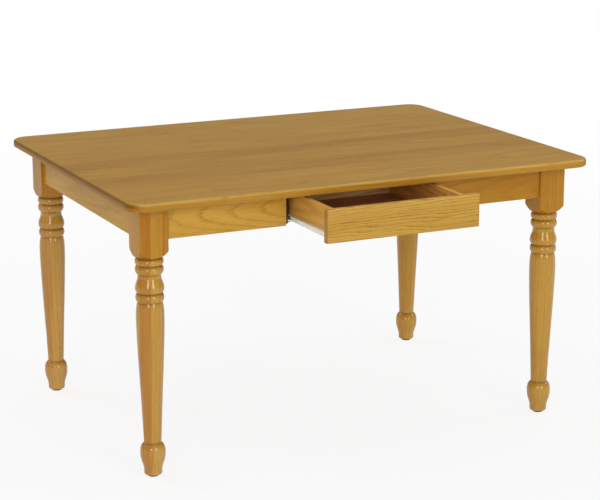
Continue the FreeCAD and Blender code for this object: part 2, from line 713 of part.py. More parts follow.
# The drawer
save("drawer_front", [drawer_front()])
for side, sx in SIDES:
    save("drawer_side_" + side, [mirrored(drawer_side(), sx)])
save("drawer_back", [drawer_back()])
save("drawer_bottom", [drawer_bottom()])
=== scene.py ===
import math

import bpy
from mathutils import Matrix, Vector


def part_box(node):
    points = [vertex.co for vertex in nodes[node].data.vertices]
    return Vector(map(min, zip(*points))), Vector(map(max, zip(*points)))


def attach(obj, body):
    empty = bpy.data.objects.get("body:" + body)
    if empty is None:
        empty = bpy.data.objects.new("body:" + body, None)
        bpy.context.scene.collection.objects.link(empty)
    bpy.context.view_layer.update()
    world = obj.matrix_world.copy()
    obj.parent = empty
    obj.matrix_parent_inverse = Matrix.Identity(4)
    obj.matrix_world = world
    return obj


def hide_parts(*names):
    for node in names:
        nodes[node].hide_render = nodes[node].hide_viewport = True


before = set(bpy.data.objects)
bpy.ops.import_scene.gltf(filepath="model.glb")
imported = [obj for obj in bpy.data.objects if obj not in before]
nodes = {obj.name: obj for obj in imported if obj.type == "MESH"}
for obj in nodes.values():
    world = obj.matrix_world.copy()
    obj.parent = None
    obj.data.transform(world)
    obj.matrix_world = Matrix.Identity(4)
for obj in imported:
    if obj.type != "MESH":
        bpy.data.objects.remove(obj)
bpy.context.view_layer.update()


# Turned legs. Each blank is three oak staves glued side by side along the table's length,
# turned below its square head, sanded, stained honey and sprayed with satin lacquer.
# Two hanger bolts in the head pull it against the corner block between the aprons.
def srgb(code):
    """Turns an sRGB hex colour into the linear colour that a socket takes."""
    parts = [int(code[i:i + 2], 16) / 255 for i in (1, 3, 5)]
    return [c / 12.92 if c <= 0.04045 else ((c + 0.055) / 1.055) ** 2.4 for c in parts] + [1.0]


def add(tree, kind, feed=None, stops=(), **settings):
    """Adds a node, sets it up, and feeds its inputs with values or links. A Map Range reads its
    inputs 1 to 2 and gives 3 to 4, and a colour Mix goes from its input 6 to 7."""
    node = tree.nodes.new("ShaderNode" + kind)
    for name, value in settings.items():
        setattr(node, name, value)
    for slot, value in (feed or {}).items():
        if isinstance(value, bpy.types.NodeSocket):
            tree.links.new(value, node.inputs[slot])
        else:
            node.inputs[slot].default_value = value
    if stops:
        ramp = node.color_ramp
        while len(ramp.elements) < len(stops):
            ramp.elements.new(1.0)
        for element, (position, colour) in zip(ramp.elements, stops):
            element.position = position
            element.color = colour if len(colour) == 4 else (*colour, 1.0)
    return node


def new_finish(name):
    """Starts a material, and gives it with its nodes, its shader and the place on the piece in metres."""
    finish = bpy.data.materials.new(name)
    finish.use_nodes = True
    tree = finish.node_tree
    return finish, tree, tree.nodes["Principled BSDF"], add(tree, "TexCoord").outputs["Object"]


def dress(finish, *pieces):
    """Gives CAD nodes their finish."""
    for piece in pieces:
        nodes[piece].material_slots[0].material = finish


# Sizes of the oak's figure in metres, along the fibre and both ways across it. Pores are 0.3 mm wide
# in the wood and drawn three times as wide, so that they show.
SLOW_WAVE = (0.625, 0.091, 0.091)
QUICK_WAVE = (0.111, 0.0143, 0.0143)
PORE = (0.026, 0.00105, 0.00105)
FIBRE = (0.167, 0.00385, 0.00385)
CLOUD = (0.455, 0.059, 0.059)
POOR_YEAR, AUTUMN_PORES = 0.35, 0.25
FIBRE_SHADE, PORE_SHADE, SOFT_END_SHADE = 0.22, 0.50, 0.40
SAWN_FROM, SAWN_FULL = 0.30, 0.80
FILM_ROUGH, PORE_ROUGH = 0.36, 0.55
FIBRE_RELIEF, PORE_DEPTH = 0.3, 0.0003
RING_BROWN, PORE_BROWN, END_BROWN = "#93601a", "#673c0e", "#7f560f"
STAVE_SHIFT = (2.43, -1.16, 1.9)
PLAIN = (1.0, 1.0, 1.0)


def spring_wood(tree, log, ring, early, sway, jitter):
    """Gives 0 to 1 for how porous each point is. A ring starts with the wide pores of its spring, and
    its radius strays by a share of sway over a hand's width and of jitter over a finger's."""
    slow = add(tree, "Mapping", {"Vector": log, "Scale": SLOW_WAVE}, vector_type="TEXTURE").outputs[0]
    slow = add(tree, "TexNoise", {"Vector": slow, "Scale": 1.0, "Detail": 2.0}).outputs[0]
    quick = add(tree, "Mapping", {"Vector": log, "Scale": QUICK_WAVE}, vector_type="TEXTURE").outputs[0]
    quick = add(tree, "TexNoise", {"Vector": quick, "Scale": 1.0, "Detail": 3.0}).outputs[0]
    flat = add(tree, "VectorMath", {0: log, 1: (0, 1, 1)}, operation="MULTIPLY").outputs[0]
    radius = add(tree, "VectorMath", {0: flat}, operation="LENGTH").outputs["Value"]
    radius = add(tree, "Math", {0: slow, 1: sway, 2: radius}, operation="MULTIPLY_ADD").outputs[0]
    radius = add(tree, "Math", {0: quick, 1: jitter, 2: radius}, operation="MULTIPLY_ADD").outputs[0]
    years = add(tree, "Math", {0: radius, 1: ring}, operation="DIVIDE").outputs[0]
    season = add(tree, "Math", {0: years}, operation="FRACT").outputs[0]
    year = add(tree, "Math", {0: years}, operation="FLOOR").outputs[0]
    luck = add(tree, "TexWhiteNoise", {"W": year}, noise_dimensions="1D").outputs["Value"]
    luck = add(tree, "MapRange", {0: luck, 3: POOR_YEAR, 4: 1.0}).outputs[0]
    spring = add(tree, "ValToRGB", {0: season}, stops=[
        (0.0, (0.70,) * 3), (0.2 * early, (1.0,) * 3), (early, (0.28,) * 3), (1.8 * early, (0.0,) * 3),
        (0.93, (0.0,) * 3), (1.0, (0.40,) * 3)]).outputs[0]
    return add(tree, "Math", {0: spring, 1: luck}, operation="MULTIPLY").outputs[0]


def lacquered_oak(name, box, fibre, heart, lean, ring, pale, honey, staves=(), tones=(), bold=0.42,
                  sway=0.016, early=0.45, coat=0.25, jitter=0.003, ends=0.0, end_stain_and_shade=(), polish=()):
    """Solid oak under satin lacquer. Its year rings are tubes round the heart of the tree, so each
    face shows its own cut: arches where it is flat-sawn, lines where it is quartered, arcs on an end.
    The eye gets soft rings, short dark pores along the fibre, clouds of colour and a clear sheen.
    Heights in tones, end_stain_and_shade and polish count from the piece's lower side."""
    oak, tree, lacquer, spot = new_finish(name)
    low, high = box
    rise = high.z - low.z
    place = spot
    if staves or tones:
        sides = add(tree, "SeparateXYZ", {0: spot}).outputs
    if staves:
        across = add(tree, "MapRange", {0: sides["X"], 1: low.x, 2: high.x}).outputs[0]
        ramp = add(tree, "ValToRGB", {0: across}, stops=staves)
        ramp.color_ramp.interpolation = "CONSTANT"
        tint = ramp.outputs[0]
        # Each stave comes from another place in the tree, so its figure differs.
        place = add(tree, "VectorMath", {0: tint, 1: STAVE_SHIFT, 2: spot},
                    operation="MULTIPLY_ADD").outputs[0]
    # The log lies along X, and is turned to the fibre of the piece.
    turn = {"X": (0, 0), "Y": (0, math.pi / 2), "Z": (-math.pi / 2, 0)}[fibre]
    log = add(tree, "Mapping", {
        "Vector": place,
        "Location": (low + high) / 2 + Vector(heart),
        "Rotation": (0, turn[0] + lean[0], turn[1] + lean[1]),
    }, vector_type="TEXTURE").outputs[0]
    spring = spring_wood(tree, log, ring, early, sway, jitter)

    pores = add(tree, "Mapping", {"Vector": log, "Scale": PORE}, vector_type="TEXTURE").outputs[0]
    pores = add(tree, "TexNoise", {"Vector": pores, "Scale": 1.0, "Detail": 1.0}).outputs[0]
    pores = add(tree, "MapRange", {0: pores, 1: 0.56, 2: 0.70}).outputs[0]
    ripe = add(tree, "MapRange", {0: spring, 3: AUTUMN_PORES, 4: 1.0}).outputs[0]
    pores = add(tree, "Math", {0: pores, 1: ripe}, operation="MULTIPLY").outputs[0]
    fibres = add(tree, "Mapping", {"Vector": log, "Scale": FIBRE}, vector_type="TEXTURE").outputs[0]
    fibres = add(tree, "TexNoise", {"Vector": fibres, "Scale": 1.0, "Detail": 3.0}).outputs[0]

    clouds = add(tree, "Mapping", {"Vector": log, "Scale": CLOUD}, vector_type="TEXTURE").outputs[0]
    clouds = add(tree, "TexNoise", {"Vector": clouds, "Scale": 1.0, "Detail": 3.0}).outputs[0]
    clouds = add(tree, "MapRange", {0: clouds, 1: 0.30, 2: 0.70}).outputs[0]
    colour = add(tree, "Mix", {0: clouds, 6: srgb(pale), 7: srgb(honey)}, data_type="RGBA").outputs[2]
    lines = add(tree, "MapRange", {0: fibres, 1: 0.25, 2: 0.75, 3: 0.0, 4: FIBRE_SHADE}).outputs[0]
    lines = add(tree, "Math", {0: spring, 1: bold, 2: lines}, operation="MULTIPLY_ADD").outputs[0]
    colour = add(tree, "Mix", {0: lines, 6: colour, 7: srgb(RING_BROWN)}, data_type="RGBA").outputs[2]
    specks = add(tree, "Math", {0: pores, 1: PORE_SHADE}, operation="MULTIPLY").outputs[0]
    colour = add(tree, "Mix", {0: specks, 6: colour, 7: srgb(PORE_BROWN)}, data_type="RGBA").outputs[2]
    if staves:
        colour = add(tree, "Mix", {0: 1.0, 6: colour, 7: tint}, data_type="RGBA",
                     blend_type="MULTIPLY").outputs[2]
    if tones:
        up = add(tree, "MapRange", {0: sides["Z"], 1: low.z, 2: high.z}).outputs[0]
        steps = [(height / rise, tone) for height, tone in tones]
        tone = add(tree, "ValToRGB", {0: up}, stops=steps).outputs[0]
        colour = add(tree, "Mix", {0: 1.0, 6: colour, 7: tone}, data_type="RGBA",
                     blend_type="MULTIPLY").outputs[2]

    # End grain drinks more stain than the faces along the fibre. Where ends gives its share, the end
    # is left sawn, so that its edge is sharp and it swallows the lacquer too.
    axis = {"X": (1, 0, 0), "Y": (0, 1, 0), "Z": (0, 0, 1)}[fibre]
    facing = add(tree, "NewGeometry").outputs["Normal"]
    facing = add(tree, "VectorMath", {0: facing, 1: axis}, operation="DOT_PRODUCT").outputs["Value"]
    if ends:
        facing = add(tree, "Math", {0: facing}, operation="ABSOLUTE").outputs[0]
        facing = add(tree, "MapRange", {0: facing, 1: SAWN_FROM, 2: SAWN_FULL, 4: ends}).outputs[0]
    else:
        facing = add(tree, "Math", {0: facing, 1: facing}, operation="MULTIPLY").outputs[0]
        facing = add(tree, "Math", {0: facing, 1: SOFT_END_SHADE}, operation="MULTIPLY").outputs[0]
    stain = srgb(END_BROWN)
    if end_stain_and_shade:
        steps = [(height / rise, srgb(code)) for height, code in end_stain_and_shade]
        stain = add(tree, "ValToRGB", {0: up}, stops=steps).outputs[0]
    colour = add(tree, "Mix", {0: facing, 6: colour, 7: stain}, data_type="RGBA").outputs[2]
    tree.links.new(colour, lacquer.inputs["Base Color"])

    rough = add(tree, "MapRange", {0: pores, 3: FILM_ROUGH, 4: PORE_ROUGH}).outputs[0]
    tree.links.new(rough, lacquer.inputs["Roughness"])
    relief = add(tree, "Math", {0: fibres, 1: FIBRE_RELIEF, 2: pores}, operation="MULTIPLY_ADD").outputs[0]
    relief = add(tree, "Bump", {"Strength": 0.25, "Distance": PORE_DEPTH, "Height": relief}, invert=True)
    tree.links.new(relief.outputs[0], lacquer.inputs["Normal"])
    lacquer.inputs["IOR"].default_value = 1.5
    lacquer.inputs["Specular IOR Level"].default_value = 0.05
    lacquer.inputs["Coat Weight"].default_value = coat
    lacquer.inputs["Coat Roughness"].default_value = 0.10
    if ends:
        film = add(tree, "MapRange", {0: facing, 3: coat, 4: 0.0}).outputs[0]
        tree.links.new(film, lacquer.inputs["Coat Weight"])
    if polish:
        turned_top, turned_coat = polish
        turned = add(tree, "Math", {0: sides["Z"], 1: low.z + turned_top}, operation="LESS_THAN").outputs[0]
        film = add(tree, "MapRange", {0: turned, 3: coat, 4: turned_coat}).outputs[0]
        tree.links.new(film, lacquer.inputs["Coat Weight"])
    return oak


# Shares of the leg's width where each stave starts, with its tint. The narrow first share of the two
# left legs is no stave, but the left face, whose own tint is painted light: it sets that face's colour for
# how it is lit.
LEG_STAVES = {
    "front_left": [(0.0, (1.06, 1.02, 0.25)), (0.07, (0.93, 0.79, 0.48)), (0.36, (1.0, 1.03, 0.88)),
                   (0.77, (0.92, 0.82, 0.45))],
    "front_right": [(0.0, (0.98, 0.97, 0.60)), (0.35, (0.92, 0.91, 0.62)), (0.67, (0.96, 0.94, 0.60))],
    "back_left": [(0.0, (1.04, 1.06, 0.66)), (0.06, (1.05, 0.98, 1.04)), (0.33, (1.05, 1.11, 1.18)),
                  (0.68, (0.95, 0.94, 0.78))],
    # The back right leg's tints are lifted as painted light, to make up for the shade under the top.
    "back_right": [(0.0, (1.06, 1.02, 0.54)), (0.34, (1.13, 1.17, 0.72)), (0.66, (1.00, 0.97, 0.48))],
}
# Heights of the grooves above the foot, with the share of red kept there. The grooves are coloured
# darker, and lose more of the green and the blue.
GROOVES = {0.088: 0.60, 0.473: 0.68, 0.497: 0.44, 0.547: 0.68, 0.571: 0.50, 0.591: 0.46}
GROOVE_REACH, GROOVE_HUE = 0.004, (1.0, 1.2, 1.8)
# The square head is painted darker than the turned part: painted shade under the top's overhang.
HEAD_PAINTED_SHADE = (0.89, 0.80, 0.50)
FOOT_TONE, FOOT_TOP = (1.06, 1.10, 1.40), 0.074
# The heart of the tree, from the leg's middle, and the turn of the log step on from leg to leg.
LEG_HEART, LEG_HEART_STEP = Vector((0.07, 0.05, 0.0)), Vector((0.01, -0.02, 0.0))
LEG_LEAN, LEG_TURN, LEG_RING = 0.020, 0.6, 0.010
TURNED_TOP, TURNED_COAT = 0.594, 0.74
leg_tones = [(0.0, FOOT_TONE), (FOOT_TOP, FOOT_TONE)]
for groove, left in GROOVES.items():
    leg_tones += [(groove - GROOVE_REACH, PLAIN), (groove, [left ** hue for hue in GROOVE_HUE]),
                  (groove + GROOVE_REACH, PLAIN)]
leg_tones[-1] = (groove + GROOVE_REACH, HEAD_PAINTED_SHADE)
for number, (corner, staves) in enumerate(LEG_STAVES.items()):
    leg = "leg_" + corner
    dress(lacquered_oak(
        "oak_satin_lacquer_" + leg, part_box(leg), "Z", LEG_HEART + number * LEG_HEART_STEP,
        (LEG_LEAN, LEG_TURN * number), LEG_RING, "#c69843", "#b58434", staves, leg_tones, bold=0.26,
        sway=0.035, coat=0.30, polish=(TURNED_TOP, TURNED_COAT)), leg)


# Glides under the feet. Each is a dark disc moulded in hard polyethylene, with a steel nail
# through its middle that is driven into the foot. The mould leaves a fine matt grain, drawn
# 1 mm wide so that it shows, and floors leave paler scuffs.
MOULD_GRAIN, MOULD_DEPTH, SCUFF = 0.0011, 0.0002, 0.0062
glide, tree, surface, place = new_finish("moulded_polyethylene_dark_brown")
grain = add(tree, "TexNoise", {"Vector": place, "Scale": 1 / MOULD_GRAIN, "Detail": 2.0}).outputs[0]
scuffs = add(tree, "TexNoise", {"Vector": place, "Scale": 1 / SCUFF, "Detail": 4.0}).outputs[0]
scuffs = add(tree, "MapRange", {0: scuffs, 1: 0.55, 2: 0.75}).outputs[0]
colour = add(tree, "Mix", {0: scuffs, 6: srgb("#2c231c"), 7: srgb("#4a4038")}, data_type="RGBA").outputs[2]
tree.links.new(colour, surface.inputs["Base Color"])
rough = add(tree, "MapRange", {0: scuffs, 3: 0.42, 4: 0.65}).outputs[0]
tree.links.new(rough, surface.inputs["Roughness"])
relief = add(tree, "Bump", {"Strength": 0.2, "Distance": MOULD_DEPTH, "Height": grain}).outputs[0]
tree.links.new(relief, surface.inputs["Normal"])
surface.inputs["IOR"].default_value = 1.51
dress(glide, *["glide_" + corner for corner in LEG_STAVES])


# Aprons. Five flat oak boards on edge between the leg heads, two of them in front with the
# drawer's opening between. Planed, arrises eased, stained and lacquered as the legs are.
APRON_COAT, APRON_JITTER = 0.18, 0.005
# Fibre, heart of the tree from the board's middle, lean of the log, width of a ring, pale and honey
# colours, share of spring wood in a ring and how strongly it shows.
APRONS = {
    "apron_front_left": ("X", (0.02, 0.055, 0.010), (0.0, -0.115), 0.0085, "#cca043", "#bc8d32",
                         0.22, 0.48),
    "apron_front_right": ("X", (-0.05, 0.075, -0.020), (0.01, -0.07), 0.0080, "#b68427", "#a6721d",
                          0.35, 0.50),
    "apron_left": ("Y", (0.10, 0.05, 0.015), (0.01, 0.03), 0.0075, "#cc9d36", "#be8c29", 0.45, 0.25),
    "apron_right": ("Y", (-0.07, -0.05, -0.012), (0.0, -0.06), 0.0080, "#c39038", "#b47e29", 0.35, 0.50),
    "apron_back": ("X", (0.20, -0.06, 0.010), (0.0, 0.04), 0.0080, "#c39038", "#b47e29", 0.30, 0.50),
}
for apron, (fibre, heart, lean, ring, pale, honey, early, bold) in APRONS.items():
    dress(lacquered_oak(
        "oak_satin_lacquer_" + apron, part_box(apron), fibre, heart, lean, ring, pale, honey, bold=bold,
        early=early, coat=APRON_COAT, jitter=APRON_JITTER), apron)


# Corner blocks and drawer rails. Sawn from plain poplar, sanded and left raw, because nobody
# sees them: pale, dull and faintly lined. The blocks are screwed across the corners, and
# two dowels at each end hold a rail between the aprons.
POPLAR_FIBRE = (0.0071, 0.111, 0.0031)
POPLAR_BAND = (0.033, 0.330, 0.017)
POPLAR_DEPTH = 0.0003
poplar, tree, surface, place = new_finish("poplar_sanded_raw")
fibres = add(tree, "Mapping", {"Vector": place, "Scale": POPLAR_FIBRE}, vector_type="TEXTURE").outputs[0]
fibres = add(tree, "TexNoise", {"Vector": fibres, "Scale": 1.0, "Detail": 4.0}).outputs[0]
bands = add(tree, "Mapping", {"Vector": place, "Scale": POPLAR_BAND}, vector_type="TEXTURE").outputs[0]
bands = add(tree, "TexNoise", {"Vector": bands, "Scale": 1.0, "Detail": 2.0}).outputs[0]
colour = add(tree, "ValToRGB", {0: bands}, stops=[
    (0.30, srgb("#cdb083")), (0.52, srgb("#c0a06d")), (0.72, srgb("#b09562"))]).outputs[0]
lines = add(tree, "MapRange", {0: fibres, 1: 0.4, 2: 0.8, 3: 0.0, 4: 0.35}).outputs[0]
colour = add(tree, "Mix", {0: lines, 6: colour, 7: srgb("#8e7146")}, data_type="RGBA").outputs[2]
# The rails' sawn ends, which face front and back, are painted near black as shade, so that the gap by
# the drawer stays dark.
facing = add(tree, "NewGeometry").outputs["Normal"]
facing = add(tree, "VectorMath", {0: facing, 1: (0, 1, 0)}, operation="DOT_PRODUCT").outputs["Value"]
facing = add(tree, "Math", {0: facing}, operation="ABSOLUTE").outputs[0]
facing = add(tree, "MapRange", {0: facing, 1: 0.90, 2: 0.98}).outputs[0]
colour = add(tree, "Mix", {0: facing, 6: colour, 7: srgb("#3a2412")}, data_type="RGBA").outputs[2]
tree.links.new(colour, surface.inputs["Base Color"])
relief = add(tree, "Bump", {"Strength": 0.3, "Distance": POPLAR_DEPTH, "Height": fibres}).outputs[0]
tree.links.new(relief, surface.inputs["Normal"])
surface.inputs["Roughness"].default_value = 0.75
surface.inputs["IOR"].default_value = 1.5
dress(poplar, *["corner_block_" + corner for corner in LEG_STAVES])
dress(poplar, "drawer_rail_left", "drawer_rail_right")


# Top. Nine oak boards, planed, glued edge to edge along the length, sanded as one slab with
# rounded corners and edges, then stained and lacquered. Neighbours differ a little in tone.
TOP_RING = 0.0065
# Heart of the tree from the board's middle, lean of the log, pale and honey colours, from the front.
TOP_BOARDS = [
    ((0.10, 0.020, -0.085), (0.022, 0.004), "#cb9c3f", "#bc8b32"),
    ((-0.20, -0.030, -0.110), (-0.018, 0.006), "#cb9c3f", "#bc8b32"),
    ((0.30, 0.010, 0.070), (0.030, -0.008), "#c4943a", "#b4832d"),
    ((-0.05, 0.035, -0.095), (-0.026, 0.010), "#c8983d", "#b88730"),
    ((0.15, -0.015, 0.080), (0.020, 0.005), "#c29239", "#b2812c"),
    ((-0.30, 0.025, -0.120), (0.028, -0.006), "#ca9c40", "#bb8b34"),
    ((0.25, -0.020, -0.075), (-0.024, 0.007), "#c99b3f", "#ba8a33"),
    ((-0.10, 0.030, 0.090), (0.018, 0.004), "#cb9d41", "#bc8c35"),
    ((0.05, -0.010, -0.100), (-0.030, -0.009), "#ca9c40", "#bb8b34"),
]
# Painted light on each board: a painted highlight along the upper arris, and painted shade on the edge
# below it and on the underside.
EDGE_HIGHLIGHT_AND_SHADE = [(0.0, (0.74, 0.70, 0.55)), (0.0030, (0.77, 0.72, 0.52)), (0.0145, (0.79, 0.74, 0.54)),
            (0.0180, (0.98, 1.13, 1.9)), (0.0205, (1.05, 1.22, 2.1)), (0.0217, PLAIN)]
# The sawn ends are stained dark, and painted darkest just under the upper arris as shade.
TOP_END_STAIN_AND_SHADE = [(0.0, "#a5741f"), (0.0080, "#9a6a1a"), (0.0130, "#754a0a"), (0.0217, "#754a0a")]
for number, (heart, lean, pale, honey) in enumerate(TOP_BOARDS, 1):
    board = "top_board_%d" % number
    dress(lacquered_oak(
        "oak_satin_lacquer_" + board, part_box(board), "X", heart, lean, TOP_RING, pale, honey,
        tones=EDGE_HIGHLIGHT_AND_SHADE, bold=0.20, sway=0.024, jitter=0.004, ends=0.85, end_stain_and_shade=TOP_END_STAIN_AND_SHADE), board)


# Nuts, washers, top clips, glide nails and roller axles. Pressed and drawn from mild steel with
# a thin bright zinc plating, which gives a grey sheen with a crystal bloom and faint streaks.
# Its crystals are too fine to see and drawn 2 mm wide, so that they show.
ZINC_CRYSTAL, ZINC_STREAK = 0.0024, 0.0083
zinc, tree, surface, place = new_finish("zinc_plated_steel")
bloom = add(tree, "TexVoronoi", {"Vector": place, "Scale": 1 / ZINC_CRYSTAL}).outputs["Color"]
bloom = add(tree, "SeparateXYZ", {0: bloom}).outputs["X"]
cloud = add(tree, "TexNoise", {"Vector": place, "Scale": 1 / ZINC_STREAK, "Detail": 3.0}).outputs[0]
colour = add(tree, "Mix", {0: cloud, 6: srgb("#c3c6c9"), 7: srgb("#aeb0ad")}, data_type="RGBA").outputs[2]
tree.links.new(colour, surface.inputs["Base Color"])
rough = add(tree, "MapRange", {0: bloom, 3: 0.26, 4: 0.40}).outputs[0]
tree.links.new(rough, surface.inputs["Roughness"])
surface.inputs["Metallic"].default_value = 1.0
dress(zinc, "hanger_washers", "hanger_nuts", "top_clips", "glide_nails", "front_roller_axles",
      "rear_roller_axles")


# Hanger bolts. Steel rods rolled with a fine machine thread for the nut at one end and a coarse
# pointed wood thread for the leg at the other, two in each corner, and zinc plated.
CREST_FROM, CREST_TO = 0.4, 0.6
MERGE_WITHIN = 0.00001
SMOOTH_BELOW = math.radians(25)


def thread(low, high, root, crest, pitch):
    """Half outline of a thread. Its ridges are rings, because one turn climbs so little."""
    turns = int((high - low) / pitch)
    points = []
    for turn in range(turns):
        foot = low + turn * pitch
        points += [(root, foot), (crest, foot + CREST_FROM * pitch), (crest, foot + CREST_TO * pitch)]
    return points + [(root, low + turns * pitch)]


def turned_steel(outline, sides=16):
    """Draws half an outline of radius and height, and spins it into a closed solid on the Z axis."""
    bpy.ops.object.select_all(action="DESELECT")
    bpy.ops.mesh.primitive_plane_add()
    solid = bpy.context.object
    bpy.ops.object.mode_set(mode="EDIT")
    bpy.ops.mesh.select_all(action="SELECT")
    bpy.ops.mesh.merge(type="CENTER")
    at = (0.0, 0.0)
    for point in outline:
        step = (point[0] - at[0], 0.0, point[1] - at[1])
        bpy.ops.mesh.extrude_region_move(TRANSFORM_OT_translate={"value": step})
        at = point
    bpy.ops.mesh.select_all(action="SELECT")
    bpy.ops.mesh.spin(steps=sides, angle=2 * math.pi, center=(0, 0, 0), axis=(0, 0, 1))
    bpy.ops.mesh.select_all(action="SELECT")
    bpy.ops.mesh.remove_doubles(threshold=MERGE_WITHIN)
    bpy.ops.mesh.normals_make_consistent(inside=False)
    bpy.ops.object.mode_set(mode="OBJECT")
    solid.data.materials.append(zinc)
    return solid


def set_in_place(name, spots, body):
    """Copies a solid to each start and direction, and joins the copies into one piece for the node."""
    bpy.ops.object.select_all(action="DESELECT")
    for solid, start, direction in spots:
        copy = solid.copy()
        copy.data = solid.data.copy()
        copy.location = start
        copy.rotation_euler = direction.to_track_quat("Z", "Y").to_euler()
        bpy.context.scene.collection.objects.link(copy)
        copy.select_set(True)
        bpy.context.view_layer.objects.active = copy
    bpy.ops.object.join()
    piece = bpy.context.object
    bpy.ops.object.transform_apply()
    bpy.ops.object.shade_smooth_by_angle(angle=SMOOTH_BELOW)
    piece.name = name + "_threaded"
    for solid in {solid for solid, _, _ in spots}:
        bpy.data.objects.remove(solid)
    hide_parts(name)
    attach(piece, body)


# The tail reaches in from the leg's inner corner, through the block, its washer and its nut. The
# levels are shares of the block's height.
BOLT_R, BOLT_ROOT, BOLT_PITCH = 0.0040, 0.0034, 0.00125
BITE_ROOT, BITE_PITCH = 0.0028, 0.0030
BOLT_TAIL, BOLT_L = 0.0321, 0.0851
MACHINE_L, BITE_FROM, BITE_TO = 0.040, 0.050, 0.080
BOLT_LEVELS = (0.3, 0.7)
bolt = turned_steel([(BOLT_ROOT, 0.0)] + thread(BOLT_PITCH, MACHINE_L, BOLT_ROOT, BOLT_R, BOLT_PITCH)
                    + [(BOLT_R, MACHINE_L + BOLT_PITCH), (BOLT_R, BITE_FROM - BOLT_PITCH)]
                    + thread(BITE_FROM, BITE_TO, BITE_ROOT, BOLT_R, BITE_PITCH) + [(0.0, BOLT_L)])
spots = []
for corner in LEG_STAVES:
    leg_low, leg_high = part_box("leg_" + corner)
    block_low, block_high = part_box("corner_block_" + corner)
    left, front = corner.endswith("left"), corner.startswith("front")
    outward = Vector((-1 if left else 1, -1 if front else 1, 0)).normalized()
    inner = (leg_high.x if left else leg_low.x, leg_high.y if front else leg_low.y)
    for share in BOLT_LEVELS:
        level = block_low.z + share * (block_high.z - block_low.z)
        spots.append((bolt, Vector((*inner, level)) - outward * BOLT_TAIL, outward))
set_in_place("hanger_bolts", spots, "table")


# Wood screws. Cold-headed pan heads with a cross recess over a rolled thread that runs to a point.
# They hold the corner blocks, the clips of the top and both halves of the slides.
SCREW_R, SCREW_ROOT, SCREW_PITCH, SCREW_POINT = 0.0020, 0.0014, 0.0014, 0.0030
HEAD_R, HEAD_T = 0.0038, 0.0014
HEAD_DOME = [(0.50, 0.0), (0.78, 0.15), (0.95, 0.50), (1.0, 1.0)]
RECESS_L, RECESS_W, RECESS_DEPTH = 0.0044, 0.0009, 0.0011
SCREWS = {"corner_block_screws": "table", "top_clip_screws": "table", "channel_screws": "table",
          "runner_screws": "drawer"}


def wood_screw(length):
    """A screw that stands on its head, with the recess cut into the head by two crossed blades."""
    head = [(r * HEAD_R, t * HEAD_T) for r, t in HEAD_DOME]
    ridges = thread(HEAD_T + SCREW_PITCH, length - SCREW_POINT, SCREW_ROOT, SCREW_R, SCREW_PITCH)
    screw = turned_steel(head + [(SCREW_ROOT, HEAD_T)] + ridges + [(0.0, length)])
    for turn in (0, math.pi / 2):
        bpy.ops.mesh.primitive_cube_add(size=1.0, rotation=(0, 0, turn))
        blade = bpy.context.object
        blade.scale = (RECESS_L, RECESS_W, 2 * RECESS_DEPTH)
        cut = screw.modifiers.new("recess", "BOOLEAN")
        cut.object = blade
        bpy.context.view_layer.objects.active = screw
        bpy.ops.object.modifier_apply(modifier=cut.name)
        bpy.data.objects.remove(blade)
    return screw


def solids_of(node):
    """The points of each separate solid in a CAD node, read from a merged copy of its mesh."""
    bpy.ops.object.select_all(action="DESELECT")
    copy = bpy.data.objects.new(node + "_copy", nodes[node].data.copy())
    bpy.context.scene.collection.objects.link(copy)
    copy.select_set(True)
    bpy.context.view_layer.objects.active = copy
    bpy.ops.object.mode_set(mode="EDIT")
    bpy.ops.mesh.select_all(action="SELECT")
    bpy.ops.mesh.remove_doubles(threshold=MERGE_WITHIN)
    bpy.ops.mesh.separate(type="LOOSE")
    bpy.ops.object.mode_set(mode="OBJECT")
    parts = list(bpy.context.selected_objects)
    clouds = [[v.co.copy() for v in part.data.vertices] for part in parts]
    for part in parts:
        bpy.data.objects.remove(part)
    return clouds


# Each screw takes the place and length of its solid. The widest point of the solid is on its head.
for node, body in SCREWS.items():
    spots = []
    lengths = {}
    for cloud in solids_of(node):
        low = Vector([min(p[k] for p in cloud) for k in range(3)])
        high = Vector([max(p[k] for p in cloud) for k in range(3)])
        size = high - low
        along = max(range(3), key=lambda k: size[k])
        middle = (low + high) / 2
        rim = max(cloud, key=lambda p: sum((p[k] - middle[k]) ** 2 for k in range(3) if k != along))
        head_low = rim[along] < middle[along]
        direction = Vector([(1 if head_low else -1) * (k == along) for k in range(3)])
        length = round(size[along], 4)
        if length not in lengths:
            lengths[length] = wood_screw(length)
        spots.append((lengths[length], middle - direction * size[along] / 2, direction))
    set_in_place(node, spots, body)


# Dowels between the rails and the aprons. Turned beech, glued in, pale pinkish brown with
# short darker flecks that roughen it a little.
BEECH_FLECK, FLECK_DEPTH = (0.0014, 0.0083, 0.0014), 0.0003
beech, tree, surface, place = new_finish("beech_fluted_dowel")
flecks = add(tree, "Mapping", {"Vector": place, "Scale": BEECH_FLECK}, vector_type="TEXTURE").outputs[0]
flecks = add(tree, "TexNoise", {"Vector": flecks, "Scale": 1.0, "Detail": 2.0}).outputs[0]
colour = add(tree, "ValToRGB", {0: flecks}, stops=[
    (0.35, srgb("#d6b58c")), (0.60, srgb("#c79f72")), (0.75, srgb("#a57d52"))]).outputs[0]
tree.links.new(colour, surface.inputs["Base Color"])
relief = add(tree, "Bump", {"Strength": 0.3, "Distance": FLECK_DEPTH, "Height": flecks}).outputs[0]
tree.links.new(relief, surface.inputs["Normal"])
surface.inputs["Roughness"].default_value = 0.70
dress(beech, "rail_dowels")


